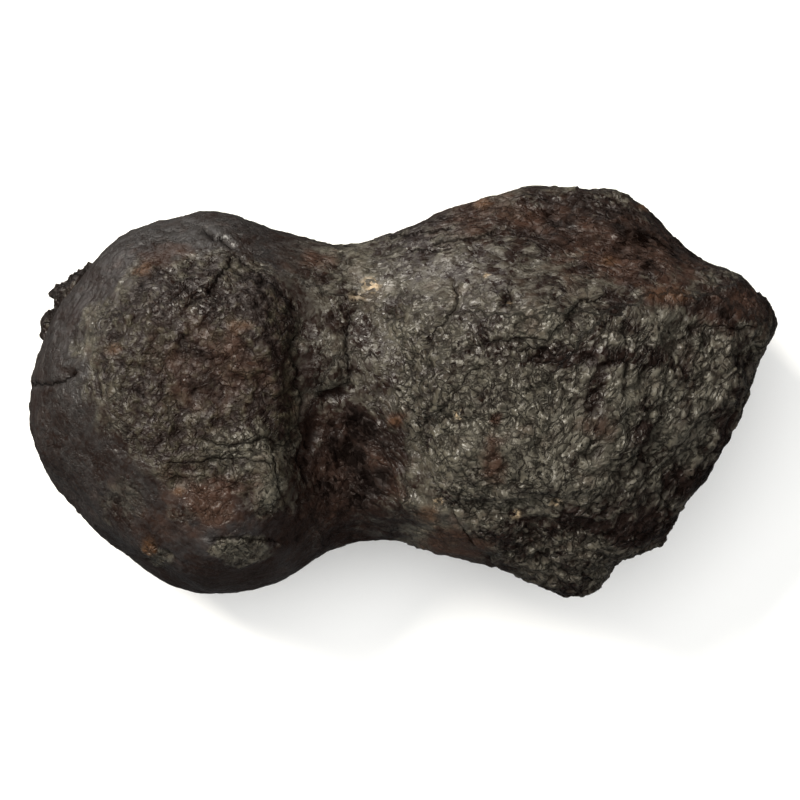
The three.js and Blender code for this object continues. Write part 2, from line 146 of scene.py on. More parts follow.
# Rougher patches of the smooth shoulders: middle and half width and height in millimetres as seen
# from straight above, and strength.
COARSE = [
    ((-30.0, -29.5), (6.5, 3.0), 0.9), ((-46.0, -30.5), (3.5, 2.5), 0.7),
    ((-57.0, 14.0), (4.0, 5.0), 0.6), ((-37.0, -22.0), (8.0, 4.0), 0.5),
    ((-52.0, -20.0), (6.0, 6.0), 0.4), ((6.0, -27.0), (10.0, 3.5), 0.6), ((-39.0, 18.5), (9.5, 4.5), 0.9),
    ((-29.0, -11.5), (8.0, 4.0), 0.5),
]

# Pits in the upper side, and knobs of negative depth: middle and half width and height in
# millimetres as seen from straight above, and depth.
PITS = [
    ((-15.0, 7.0), (4.0, 6.0), -0.9), ((-13.5, -0.5), (4.0, 1.2), 0.9), ((-17.2, -7.0), (1.8, 6.0), 1.2),
    ((-62.6, 3.6), (1.4, 1.0), 0.5), ((19.2, 17.4), (1.4, 1.6), 0.9), ((32.0, -14.0), (1.6, 2.4), 0.8),
    ((37.0, 3.0), (1.5, 2.6), 0.8), ((26.0, -31.0), (2.4, 1.6), 0.8),
]
CRACK_HALF_WIDTH_MM = 0.8
LEDGE_REACH_MM = 5

# How far beyond its end a crack closes and a ledge sinks away.
CRACK_END_MM = (0.2, 1.6)
LEDGE_END_MM = (0.5, 5)

# The soft edge of a stain and of a pit, as shares of its reach.
STAIN_EDGE = (0.35, 1.35)
PIT_EDGE = (0.3, 1.2)

# Each seed reads the noise from a place of its own, this far from the last one's.
SEED_STEP = np.array([7.31, 3.17, -5.73])

# How broken the bevels of the round lobe are, from 0 to 1, and what the angular lobe's have more.
ROUND_BEVEL = 0.26
ANGULAR_BEVEL_MORE = 0.34

# Heights of the carved relief in millimetres. A lean is a slope, and a curve is a rise for each
# square millimetre.
PLATE_STEP_MM = 0.6
LEAF_STEP_MM = 0.28
SCALLOP_DEPTH_MM = 0.4
FLAKE_LEAN = 0.22
FLAKE_LIFT_MM = 0.08
FLAKY_RISE_MM = 0.12
CHIP_LEAN = 0.16
CHIP_LIFT_MM = 0.5
CHIP_CURVE = 0.045
CHIP_TOP_MM = 0.3
RIPPLE_MM = 0.13
SWELL_MM = 0.22
BROAD_LUMP_MM = 1.3
LUMP_BASE_MM = 0.55
FLANGE_ROUGHNESS_MM = 0.9
FLANGE_RISE_MM = 0.2

# The rise above which the crust's peaks are worn down to half.
WORN_PEAK_MM = 0.3

# Stains, calm ground, bare metal with painted glints, paler ground with painted sheen and darker
# ground with painted shade of the upper side: middle and half width and height in millimetres as
# seen from straight above, and strength.
RUST = [
    ((-35.6, -21.1), (8.4, 5.2), 1.0), ((-16.5, 23.7), (5.5, 2.6), 0.8), ((9.6, -28.0), (7.6, 4.0), 0.9),
    ((48.9, 17.9), (6.0, 2.2), 0.7), ((62.0, 16.4), (5.6, 3.4), 0.6), ((18.0, 33.1), (15.0, 4.7), 0.6),
    ((16.5, -13.1), (3.2, 5.2), 0.8), ((17.1, -5.2), (1.4, 1.4), 0.9), ((-34.3, 4.1), (11.5, 8.6), 0.55),
    ((-10.0, -13.6), (10.5, 12.0), 0.3), ((-1.6, -5.2), (1.9, 1.7), 0.9),
    ((-46.3, 24.9), (4.0, 1.9), 0.8), ((36.7, -6.2), (4.0, 2.4), 0.5), ((42.0, 26.0), (17.0, 8.0), 0.6),
    ((64.0, 15.0), (8.0, 5.0), 0.5), ((-44.0, 26.5), (7.0, 2.0), 0.5), ((-45.0, -25.0), (7.0, 4.0), 0.5),
]
AMBER = [
    ((-47.4, -28.6), (1.3, 2.1), 0.9), ((-41.8, -18.3), (1.1, 1.1), 0.8),
    ((-48.9, 22.8), (1.9, 1.5), 0.7), ((14.3, 35.3), (1.6, 1.1), 0.8), ((45.1, 34.6), (1.6, 1.2), 0.8),
    ((38.2, 24.3), (1.8, 1.1), 0.7), ((4.6, -23.0), (2.6, 1.7), 0.6), ((-30.6, 12.3), (2.8, 1.2), 0.6),
    ((-54.3, 7.9), (1.7, 1.2), 0.5), ((50.5, 18.2), (4.5, 1.2), 0.4), ((-1.6, -5.2), (1.2, 1.0), 0.5),
]
CALM = [
    ((12.0, 19.0), (16.0, 9.0), 0.8), ((14.0, 5.0), (9.0, 4.0), 0.6), ((16.0, -12.0), (7.0, 6.0), 0.6),
    ((30.0, 13.0), (7.0, 4.0), 0.5), ((-5.0, 9.0), (6.0, 7.0), 0.4), ((2.0, -30.0), (12.0, 4.0), 0.5),
]
# Bare metal, and painted glints where the oiled crust catches the light.
BARE_METAL_AND_GLINTS = [
    ((-6.1, 20.0), (1.9, 1.3), 0.9), ((-8.6, 17.9), (1.8, 1.0), 0.4), ((6.4, -20.7), (0.9, 0.8), 1.0),
    ((20.8, -23.0), (1.1, 0.9), 1.0), ((28.3, -20.7), (1.3, 1.0), 0.7), ((15.2, 21.7), (0.5, 0.5), 0.7),
    ((19.5, 16.6), (0.7, 0.9), 0.9), ((10.2, -4.3), (0.8, 0.8), 1.0),
]
# Paler ground, and painted sheen and highlights, such as the top shoulder's sheen and the bright plates.
PALE_GROUND_AND_SHEEN = [
    ((25.5, 12.5), (5.5, 2.8), 0.8), ((-0.7, 11.2), (3.6, 2.2), 0.35), ((-25.0, -18.3), (2.9, 3.8), 0.9),
    ((-29.0, -10.5), (9.0, 5.0), 0.45), ((-61.0, -1.0), (6.0, 14.0), 0.35),
    ((-36.0, -27.0), (14.0, 7.0), 0.3), ((8.0, -26.0), (8.0, 5.0), 1.0),
    ((24.0, -11.0), (22.0, 15.0), 0.52), ((-52.6, -0.2), (1.7, 1.3), 0.7),
    ((-42.0, 29.5), (13.0, 4.0), 0.7), ((-30.6, -31.5), (4.0, 2.2), 0.4), ((5.0, 2.0), (8.0, 9.0), 0.15),
    ((47.0, -2.0), (14.0, 10.0), 0.35), ((27.0, -33.0), (3.0, 2.5), 0.4),
]
# Darker ground, and painted shade such as in the waist's hollow, on its cliff and on the far bevel.
DARK_GROUND_AND_SHADE = [
    ((46.0, 27.5), (17.0, 8.6), 1.4), ((55.0, 24.0), (10.0, 4.0), 0.9), ((-17.1, -7.5), (2.4, 9.5), 1.4),
    ((-27.5, 17.0), (8.0, 5.0), 1.1), ((-40.0, 17.5), (13.0, 7.0), 0.9),
    ((-10.0, -13.6), (10.0, 12.5), 1.9), ((31.0, 31.0), (13.0, 7.0), 1.2),
    ((12.0, 29.0), (16.0, 7.0), 0.6), ((18.0, 20.0), (20.0, 5.0), 0.25),
    ((-14.5, -25.0), (12.0, 6.5), 1.1), ((-10.0, 12.0), (7.0, 5.0), 0.5), ((-62.3, 3.7), (1.9, 1.0), 1.0),
    ((-18.0, 8.0), (3.0, 7.0), 0.6), ((62.0, 17.0), (9.0, 5.0), 1.2), ((63.8, 3.0), (3.0, 7.0), 0.6),
    ((60.1, -8.0), (4.0, 6.0), 0.7), ((54.5, -17.0), (6.0, 4.0), 1.1), ((46.0, -25.0), (9.0, 4.0), 1.2),
    ((34.0, -24.0), (7.0, 4.0), 0.9), ((14.0, -33.0), (10.0, 3.0), 0.5),
    ((-36.0, -34.0), (12.0, 3.5), 0.7), ((35.0, 6.5), (15.0, 2.0), 1.2), ((53.0, 4.0), (2.0, 7.0), 0.8),
    ((45.0, -6.0), (1.8, 9.0), 0.9), ((22.0, -26.0), (9.0, 4.0), 0.8), ((29.0, -34.0), (6.0, 5.0), 0.5),
    ((36.0, -6.0), (2.0, 10.0), 0.8), ((-4.0, -4.0), (4.0, 10.0), 0.4), ((-66.0, -6.0), (4.0, 12.0), 0.3),
    ((-28.0, 29.0), (6.0, 3.0), 0.4), ((-36.0, 3.0), (22.0, 20.0), 0.4),
]


def linear(code):
    """An sRGB hex colour as linear red, green, blue and alpha."""
    parts = [int(code[i : i + 2], 16) / 255 for i in (1, 3, 5)]
    return [v / 12.92 if v <= 0.04045 else ((v + 0.055) / 1.055) ** 2.4 for v in parts] + [1.0]


def colour(name, description, code):
    """A colour setting that starts from a hex value."""
    return FloatVectorProperty(
        name=name, description=description, subtype="COLOR", size=4, min=0, max=1, default=linear(code)
    )


def length(name, description, millimetres):
    """A length setting that starts from a size in millimetres."""
    return FloatProperty(
        name=name,
        description=description,
        default=millimetres * MM,
        min=0,
        subtype="DISTANCE",
        unit="LENGTH",
    )


class MeteoriteSizes(bpy.types.PropertyGroup):
    """Sizes of the carved crust."""

    grid: length("Grid", "Spacing of the points that the crust is carved on", 0.56)
    chip: length("Chip", "Width of the broad chipped hollows", 9)
    plate: length("Plate", "Width of the crust's layered plates", 8)
    leaf: length("Leaf", "Width of the thinner layers on the plates", 3.4)
    fold: length("Fold", "Width of the shallow scallops that meet in ridges", 2.3)
    flake: length("Flake", "Width of the flat flakes", 1.9)
    grain: length("Grain", "Width of the crust's grains", 1.15)
    web: length("Fissures", "Spacing of the web of fissures", 1.9)
    plate_crack: length("Cracked plates", "Width of the angular pieces that the crust is cracked into", 1.9)
    seed: IntProperty(name="Seed", description="Start of every random draw", default=41)


class MeteoriteColours(bpy.types.PropertyGroup):
    """Colours of the crust, and the painted shade of its cracks and hollows."""

    crust: colour("Crust", "Brown-black magnetite crust", "#1b100b")
    flake: colour("Flakes", "Olive-grey flakes on the broken faces", "#4b473d")
    silk: colour("Swept skin", "Silky grey skin on the swept shoulders", "#272423")
    worn: colour("Worn lumps", "Brown-grey lumps on the worn face", "#2f291d")
    # Painted shade laid into the cracks, the hollows and the waist's floor.
    crevice_shade: colour("Crevice", "Cracks and the dark floor of the waist", "#080504")
    rust: colour("Rust", "Rust that stains the crust", "#35231a")
    amber: colour("Amber", "Fresh rust in small spots", "#48301c")
    # Also the colour of the painted glints.
    bare_metal_and_glint: colour("Gold", "Pale yellow flecks where the metal is bare", "#9a866a")


class MeteoriteStage(bpy.types.PropertyGroup):
    """The pale floor, the lights and the camera."""

    camera_height: length("Camera height", "Height of the camera above the floor", 900)
    key_width: length("Softbox width", "Width of the square softbox at the upper left", 400)
    key_power: FloatProperty(
        name="Softbox power", description="Power of the softbox", default=16, unit="POWER"
    )
    fill_power: FloatProperty(
        name="Fill power", description="Power of the overhead fill", default=22, unit="POWER"
    )
    room_light: FloatProperty(
        name="Room light", description="Strength of the even room light", default=0.08, min=0
    )
    window_light: FloatProperty(
        name="Window light", description="Glow of the room's bright side", default=1.7, min=0
    )
    floor_tone: colour("Floor", "Pale matt floor", "#f7f7f5")


def settings():
    """The settings that the operators read."""
    scene = bpy.context.scene
    return scene.meteorite_sizes, scene.meteorite_colours, scene.meteorite_stage


def smoothstep(low, high, values):
    """0 below low, 1 above high and a smooth rise between them."""
    share = np.clip((values - low) / (high - low), 0, 1)
    return share * share * (3 - 2 * share)


def noise_at(points_mm, spacing_mm, seed, depth=1):
    """Perlin noise at each point, about -1 to 1, with depth octaves."""
    shifted = points_mm / spacing_mm + seed * SEED_STEP
    if depth == 1:
        return np.array([noise.noise(p) for p in shifted])
    return np.array([noise.fractal(p, 0.9, 2.0, depth) for p in shifted])


def inside_by(plan_mm, outline_mm):
    """How far each plan point lies inside an outline, in millimetres: negative outside."""
    nearest = np.full(len(plan_mm), 1e9)
    inside = np.zeros(len(plan_mm), bool)
    corners = np.array(outline_mm)
    for a, b in zip(corners, np.roll(corners, -1, axis=0)):
        edge = b - a
        along = np.clip(((plan_mm - a) @ edge) / (edge @ edge), 0, 1)
        nearest = np.minimum(nearest, np.linalg.norm(plan_mm - a - along[:, None] * edge, axis=1))
        crosses = (a[1] > plan_mm[:, 1]) != (b[1] > plan_mm[:, 1])
        with np.errstate(divide="ignore", invalid="ignore"):
            meets = a[0] + (plan_mm[:, 1] - a[1]) * edge[0] / edge[1]
        inside ^= crosses & (plan_mm[:, 0] < meets)
    return np.where(inside, nearest, -nearest)


class Surface:
    """The fine mesh's points as arrays in millimetres, and how they show from straight above."""

    def __init__(self, mesh, camera_height):
        count = len(mesh.vertices)
        co = np.zeros(count * 3)
        mesh.vertices.foreach_get("co", co)
        normal = np.zeros(count * 3)
        mesh.vertex_normals.foreach_get("vector", normal)
        self.points = co.reshape(-1, 3) / MM
        self.normals = normal.reshape(-1, 3)
        height = camera_height / MM
        closeness = (height - OUTLINE_LEVEL_MM) / (height - self.points[:, 2])
        flat = self.points[:, :2] * closeness[:, None]
        shift = np.zeros_like(flat)
        for middle, push, reach in PUSHES:
            away = np.linalg.norm(flat - np.array(middle), axis=1)
            shift += np.exp(-((away / reach) ** 2))[:, None] * np.array(push)
        self.points[:, :2] += shift
        self.plan = flat + shift
        facing, level = self.normals[:, 2], self.points[:, 2]
        self.upper = smoothstep(*UPPER_FACING, facing) * smoothstep(*UPPER_LEVEL_MM, level)
        ends = np.zeros(len(mesh.edges) * 2, int)
        mesh.edges.foreach_get("vertices", ends)
        self.ends = ends.reshape(-1, 2)

    def blurred(self, values, rounds):
        """The values averaged with their neighbours' a number of times."""
        a, b = self.ends.T
        count = np.bincount(self.ends.ravel(), minlength=len(values)) + 1
        for _ in range(rounds):
            total = values + np.bincount(a, values[b], len(values)) + np.bincount(b, values[a], len(values))
            values = total / count
        return values


class Cells:
    """Random cells over the surface, each with its own lean and lift, and the cells near each point."""

    def __init__(self, points_mm, spacing_mm, seed, near):
        rng = np.random.default_rng(seed)
        lattice = np.unique(np.floor(points_mm / spacing_mm).astype(int), axis=0)
        self.middles = (lattice + rng.random(lattice.shape)) * spacing_mm
        self.lean = rng.normal(0, 1, lattice.shape)
        self.lift = rng.uniform(-1, 1, len(lattice))
        tree = KDTree(len(self.middles))
        for i, middle in enumerate(self.middles):
            tree.insert(middle, i)
        tree.balance()
        hits = [tree.find_n(p, near) for p in points_mm]
        self.index = np.array([[hit[1] for hit in row] for row in hits])
        self.distance = np.array([[hit[2] for hit in row] for row in hits])
        self.offset = points_mm[:, None] - self.middles[self.index]

    def heights(self, lean, lift):
        """Height of each near cell's tilted face over each point."""
        return (self.offset * self.lean[self.index]).sum(2) * lean + self.lift[self.index] * lift


def stained(surface, stains, ragged):
    """How strongly a list of stains colours each point, with ragged edges."""
    share = np.zeros(len(surface.plan))
    for middle, reach, strength in stains:
        away = np.linalg.norm((surface.plan - np.array(middle)) / np.array(reach), axis=1)
        share = np.maximum(share, strength * (1 - smoothstep(*STAIN_EDGE, away + ragged)))
    return share * surface.upper


def flange_share(surface):
    """1 on the low flange and 0 elsewhere."""
    inside = smoothstep(0, 3, inside_by(surface.plan, FLANGE))
    return inside * (1 - smoothstep(FLANGE_TOP_MM - 4, FLANGE_TOP_MM, surface.points[:, 2]))


def pitted(surface, ragged):
    """Depth of the pits at each point, less the height of the knobs, in millimetres."""
    depth = np.zeros(len(surface.plan))
    for middle, reach, deepest in PITS:
        away = np.linalg.norm((surface.plan - np.array(middle)) / np.array(reach), axis=1)
        depth += deepest * (1 - smoothstep(*PIT_EDGE, away + ragged))
    return depth * surface.upper


def cracked(surface, wander):
    """Rise beside the cracks, the signed distance to the nearest one and how open it is, in millimetres."""
    plan = surface.plan + wander
    facing = surface.upper * smoothstep(-0.2, 0.15, surface.normals[:, 2])
    rise = np.zeros(len(plan))
    nearest = np.full(len(plan), 9.0)
    signed = np.full(len(plan), 9.0)
    split = np.zeros(len(plan))
    for line, depth, step in CRACKS:
        corners = np.array(line)
        away = np.full(len(plan), 99.0)
        side = np.ones(len(plan))
        beyond = np.zeros(len(plan))
        for k, (a, b) in enumerate(zip(corners[:-1], corners[1:])):
            long = np.linalg.norm(b - a)
            way = (b - a) / long
            along = (plan - a) @ way
            gap = plan - a - np.clip(along, 0, long)[:, None] * way
            reach = np.linalg.norm(gap, axis=1)
            closer = reach < away
            away = np.where(closer, reach, away)
            side = np.where(closer, np.sign(way[0] * (plan - a)[:, 1] - way[1] * (plan - a)[:, 0]), side)
            before = -along if k == 0 else 0 * along
            after = along - long if k == len(line) - 2 else 0 * along
            beyond = np.where(closer, np.maximum(np.maximum(before, after), 0), beyond)
        open_share = (1 - smoothstep(*CRACK_END_MM, beyond)) * facing
        lasting = 1 - smoothstep(*LEDGE_END_MM, beyond)
        ground = np.exp(-((away / LEDGE_REACH_MM) ** 2)) * lasting * facing
        groove = np.clip(1 - away / CRACK_HALF_WIDTH_MM, 0, 1) * open_share
        rise += np.where(side > 0, step, 0) * ground - depth * groove
        closest = away < nearest
        nearest = np.where(closest, away, nearest)
        signed = np.where(closest, away * side, signed)
        split = np.where(closest, open_share, split)
    return rise, signed, split


def rough_share(surface):
    """1 on the broken, flaky faces, less on the weathered bevels and least on the silky shoulders."""
    points, plan = surface.points, surface.plan
    ragged = noise_at(points, 7, 3, 2) * 3 + noise_at(points, 2.2, 5) * 1.2
    inside = np.maximum(inside_by(plan, WORN_FACE), inside_by(plan, BROAD_FACE))
    faces = smoothstep(-3.5, 2, inside + ragged)
    bevels = ROUND_BEVEL + ANGULAR_BEVEL_MORE * smoothstep(-24, -12, plan[:, 0] + ragged)
    near_bevel = smoothstep(-19, -24, plan[:, 1]) * (1 - smoothstep(10, 20, plan[:, 0]))
    bevels = bevels * (1 - 0.35 * near_bevel)
    seen = np.maximum(faces, bevels)
    hidden = 0.25 + 0.75 * smoothstep(-0.12, 0.2, noise_at(points, 26, 9, 2))
    return surface.upper * seen + (1 - surface.upper) * hidden


def terraces(values, riser=0.25, tilt=0.3):
    """Steps one unit high: gently sloping treads joined by steep risers."""
    tread = np.floor(values)
    part = values - tread
    return tread + (1 - tilt) * smoothstep(1 - riser, 1, part) + tilt * part


def flaky(points, sizes, run, stretch):
    """Rise of the flaky crust in millimetres, and the bent places, in metres, that the grains and
    fissures are laid out on.

    The flakes are stretch times longer along run than across it.
    """
    way = np.array(run) / np.linalg.norm(run)
    drawn = points - (points @ way)[:, None] * way * (1 - 1 / stretch)
    bend = np.stack([noise_at(drawn, 5, seed, 2) for seed in (11, 12, 13)], axis=1)
    bent = drawn + bend * 1.6
    layer = noise_at(bent, sizes.plate / MM, 14, 2) * 3.5
    leaf = noise_at(bent, sizes.leaf / MM, 15, 2) * 2.5
    fold = noise_at(bent, sizes.fold / MM, 16)
    flakes = Cells(drawn + bend * 0.5, sizes.flake / MM, sizes.seed + 2, 1)
    rise = (
        PLATE_STEP_MM * (terraces(layer) - 0.75 * layer)
        + LEAF_STEP_MM * (terraces(leaf) - 0.75 * leaf)
        - SCALLOP_DEPTH_MM * np.abs(fold)
        + flakes.heights(FLAKE_LEAN, FLAKE_LIFT_MM)[:, 0]
        + FLAKY_RISE_MM
    )
    return np.stack([rise, *(drawn + bend * 0.6).T * MM])


def carve(surface, sizes):
    """Carves the crust, and returns the new points and what each one shows."""
    points = surface.points
    ragged = noise_at(points, 3, 31, 3) * 0.45
    coarse = np.maximum(stained(surface, COARSE, ragged), flange_share(surface))
    rough = np.maximum(rough_share(surface), coarse)
    fields = flaky(points, sizes, (1, 0, 0), 1)
    for middle, reach, run, stretch in RUNS:
        away = np.linalg.norm((surface.plan - np.array(middle)) / np.array(reach), axis=1) + ragged * 0.15
        weight = (1 - smoothstep(0.85, 1.1, away)) * surface.upper
        near = weight > 0
        own = flaky(points[near], sizes, run, stretch)
        fields[0, near] += weight[near] * (own[0] - fields[0, near])
        most = weight[near] > 0.5
        fields[1:, near] = np.where(most, own[1:], fields[1:, near])
    bend = np.stack([noise_at(points, 4, seed, 3) for seed in (18, 19)], axis=1)
    chips = Cells(points + np.c_[bend, bend[:, :1]] * 1.2, sizes.chip / MM, sizes.seed, 4)
    chip_rise = (chips.heights(CHIP_LEAN, CHIP_LIFT_MM) + chips.distance**2 * CHIP_CURVE).min(1)
    swept = points * (0.45, 0.45, 1)
    skin = noise_at(swept, 1.7, 21, 3) * RIPPLE_MM + noise_at(points, 7, 22, 3) * SWELL_MM
    rise, signed, split = cracked(surface, bend * 0.45)
    calm = stained(surface, CALM, ragged)
    worn = smoothstep(-2, 3, inside_by(surface.plan, WORN_FACE) + ragged * 4) * surface.upper
    lumps = np.abs(noise_at(points + bend[:, :1] * 0.5, 3.4, 17, 2)) - LUMP_BASE_MM
    lumps += np.abs(noise_at(points + bend[:, :1], 6.5, 47)) * BROAD_LUMP_MM
    rubbed = np.maximum(calm, worn * 0.7)
    broken = fields[0] * (1 - 0.5 * rubbed) + np.minimum(chip_rise * 0.6, CHIP_TOP_MM) + lumps * worn
    rise += rough * broken + (1 - rough) * skin
    rise = np.where(rise > WORN_PEAK_MM, WORN_PEAK_MM + (rise - WORN_PEAK_MM) * 0.5, rise)
    pits = pitted(surface, ragged)
    flange = flange_share(surface)
    rise += flange * (noise_at(points, 3.6, 45, 3) * FLANGE_ROUGHNESS_MM + FLANGE_RISE_MM) - pits
    moved = points + surface.normals * rise[:, None]
    moved[:, 2] = np.maximum(moved[:, 2], 0)
    cloud = noise_at(points, 11, 33, 2)
    hidden = 1 - surface.upper
    relief = rise - surface.blurred(rise, 10)
    # Painted sheen and highlights, with paler ground.
    light = stained(surface, PALE_GROUND_AND_SHEEN, ragged)
    # Painted shade with darker ground, painted shade in the pits, and darker on the flange.
    dark = np.maximum(stained(surface, DARK_GROUND_AND_SHADE, ragged), np.maximum(np.minimum(pits, 1), flange * 1.3))
    far_rust = hidden * smoothstep(0.1, 0.8, cloud + ragged)
    far_amber = hidden * smoothstep(0.75, 1.1, cloud + ragged)
    marks = {
        "rough": rough,
        "worn": np.maximum(worn - light - coarse, 0),
        "fabric": fields[1:],
        "crack": signed,
        "split": split,
        # Painted shade in the carved hollows.
        "hollow": smoothstep(0.0, -0.5, relief),
        # Crests: lighter as wear and as a painted highlight on the edges.
        "crest": smoothstep(0.05, 0.4, relief),
        "calm": np.maximum(calm, 0.7 * smoothstep(0.1, 0.5, noise_at(points, 7, 34, 3))),
        "mottle": noise_at(points, 5, 35, 4) * 0.6,
        "rust": np.maximum(stained(surface, RUST, ragged), far_rust),
        "amber": np.maximum(stained(surface, AMBER, ragged), far_amber),
        "bare_metal_and_glint": stained(surface, BARE_METAL_AND_GLINTS, ragged * 0.6),
        # The tone: painted sheen and painted shade with paler and darker ground, and a random cloud.
        "tone": 0.5 + light - dark * 0.7 + cloud * 0.15,
    }
    return moved, marks


def store(mesh, name, values):
    """Keeps a number, or a row each of x, y and z, as a named attribute of the points."""
    if values.ndim == 1:
        mesh.attributes.new(name, "FLOAT", "POINT").data.foreach_set("value", values.astype(np.float32))
    else:
        attribute = mesh.attributes.new(name, "FLOAT_VECTOR", "POINT")
        attribute.data.foreach_set("vector", values.T.astype(np.float32).ravel())


def fine_mesh(grid):
    """A closed, even mesh of quads over a copy of the solid, with the solid's facets rounded away."""
    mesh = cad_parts[SOLID].data.copy()
    shape = bmesh.new()
    shape.from_mesh(mesh)
    bmesh.ops.remove_doubles(shape, verts=shape.verts, dist=1e-6)
    bmesh.ops.recalc_face_normals(shape, faces=shape.faces)
    shape.to_mesh(mesh)
    shape.free()
    mesh.materials.clear()
    stone = bpy.data.objects.new("meteorite_stone", mesh)
    bpy.context.scene.collection.objects.link(stone)
    rounding = stone.modifiers.new("rounding", "SUBSURF")
    rounding.levels = rounding.render_levels = 2
    even = stone.modifiers.new("even grid", "REMESH")
    even.mode = "VOXEL"
    even.voxel_size = grid
    calm = stone.modifiers.new("calm", "SMOOTH")
    calm.factor = 0.5
    calm.iterations = 4
    evaluated = stone.evaluated_get(bpy.context.evaluated_depsgraph_get())
    stone.data = bpy.data.meshes.new_from_object(evaluated)
    stone.modifiers.clear()
    return stone


def thin(stone):
    """Thins the carved mesh to its most triangles, the flattest places first."""
    stone.data.calc_loop_triangles()
    thinned = stone.modifiers.new("thinned", "DECIMATE")
    thinned.ratio = min(1, MOST_TRIANGLES / len(stone.data.loop_triangles))
    evaluated = stone.evaluated_get(bpy.context.evaluated_depsgraph_get())
    stone.data = bpy.data.meshes.new_from_object(evaluated)
    stone.modifiers.clear()


def add(tree, kind, settings=(), inputs=()):
    """Adds a node, sets its properties, and gives its inputs numbers, colours or other nodes' results."""
    node = tree.nodes.new(kind)
    for name, value in dict(settings).items():
        setattr(node, name, value)
    for name, value in inputs.items() if isinstance(inputs, dict) else enumerate(inputs):
        if isinstance(value, bpy.types.Node):
            value = next(output for output in value.outputs if output.enabled)
        if isinstance(value, bpy.types.NodeSocket):
            tree.links.new(value, node.inputs[name])
        else:
            node.inputs[name].default_value = value
    return node


def new_material(name):
    """An empty node material and its tree."""
    material = bpy.data.materials.new(name)
    material.use_nodes = True
    material.node_tree.nodes.clear()
    return material, material.node_tree


def tilted_grains(tree, place, width, lean):
    """Height in metres of small flat grains, each tilted its own way, and the cells that they fill."""
    wander = add(tree, "ShaderNodeTexNoise", {}, {"Vector": place, "Scale": 1 / width, "Detail": 2})
    shift = add(
        tree,
        "ShaderNodeVectorMath",
        {"operation": "SUBTRACT"},
        (wander.outputs["Color"], (0.5, 0.5, 0.5)),
    )
    bent = add(
        tree,
        "ShaderNodeVectorMath",
        {"operation": "MULTIPLY_ADD"},
        (shift, (width * 0.3,) * 3, place),
    )
    cells = add(tree, "ShaderNodeTexVoronoi", {}, {"Vector": bent, "Scale": 1 / width})
    offset = add(
        tree,
        "ShaderNodeVectorMath",
        {"operation": "SUBTRACT"},
        (bent, cells.outputs["Position"]),
    )
    turn = add(
        tree,
        "ShaderNodeVectorMath",
        {"operation": "SUBTRACT"},
        (cells.outputs["Color"], (0.5, 0.5, 0.5)),
    )
    tilt = add(tree, "ShaderNodeVectorMath", {"operation": "DOT_PRODUCT"}, (offset, turn))
    rounded = add(
        tree,
        "ShaderNodeMath",
        {"operation": "MULTIPLY"},
        (cells.outputs["Distance"], -0.08 * width),
    )
    return add(tree, "ShaderNodeMath", {"operation": "MULTIPLY_ADD"}, (tilt, lean, rounded)), cells


def fissures(tree, place, width):
    """A field that is high along a branching web of fissures, some width apart, and low between them."""
    return add(
        tree,
        "ShaderNodeTexNoise",
        {"noise_type": "RIDGED_MULTIFRACTAL", "normalize": False},
        {"Vector": place, "Scale": 1 / width, "Detail": 4, "Roughness": 0.55, "Offset": 0.9, "Gain": 1.5},
    )


MARKS = (
    "rough", "worn", "crest", "calm", "mottle", "crack", "split", "hollow", "rust", "amber", "bare_metal_and_glint", "tone",
)

# Relief of the material that is too fine for the mesh: widths, and heights or depths.
JAG_MM = 1.4
CRINKLE_MM = 0.9
LUMP_MM = 1.8
LUMP_HEIGHT_MM = 0.8
SILK_MM = 0.9
SILK_HEIGHT_MM = 0.28
LINE_DEPTH_MM = 0.24
FISSURE_DEPTH_MM = 0.2

# How much lumps, flecks, crests and grains lighten the crust's tone, and the tone at which
# olive-grey flakes begin to show. The lumps and crests are lighter where they rise, as wear and as
# a painted highlight.
LUMP_TONE = 4
FLECK_TONE = 0.5
CREST_TONE = 0.5
GRAIN_TONE = 0.45
FLAKE_START = 0.52

# Roughness and specular level of the oiled crust, and what flecks, worn ground, rust and the dark
# lines and hollows add to them.
OILED_ROUGHNESS = 0.32
FLECK_ROUGHNESS = 0.2
WORN_ROUGHNESS = 0.14
SHUT_ROUGHNESS = 0.3
OILED_LEVEL = 0.44
RUST_LEVEL = -0.16
SHUT_LEVEL = -0.36


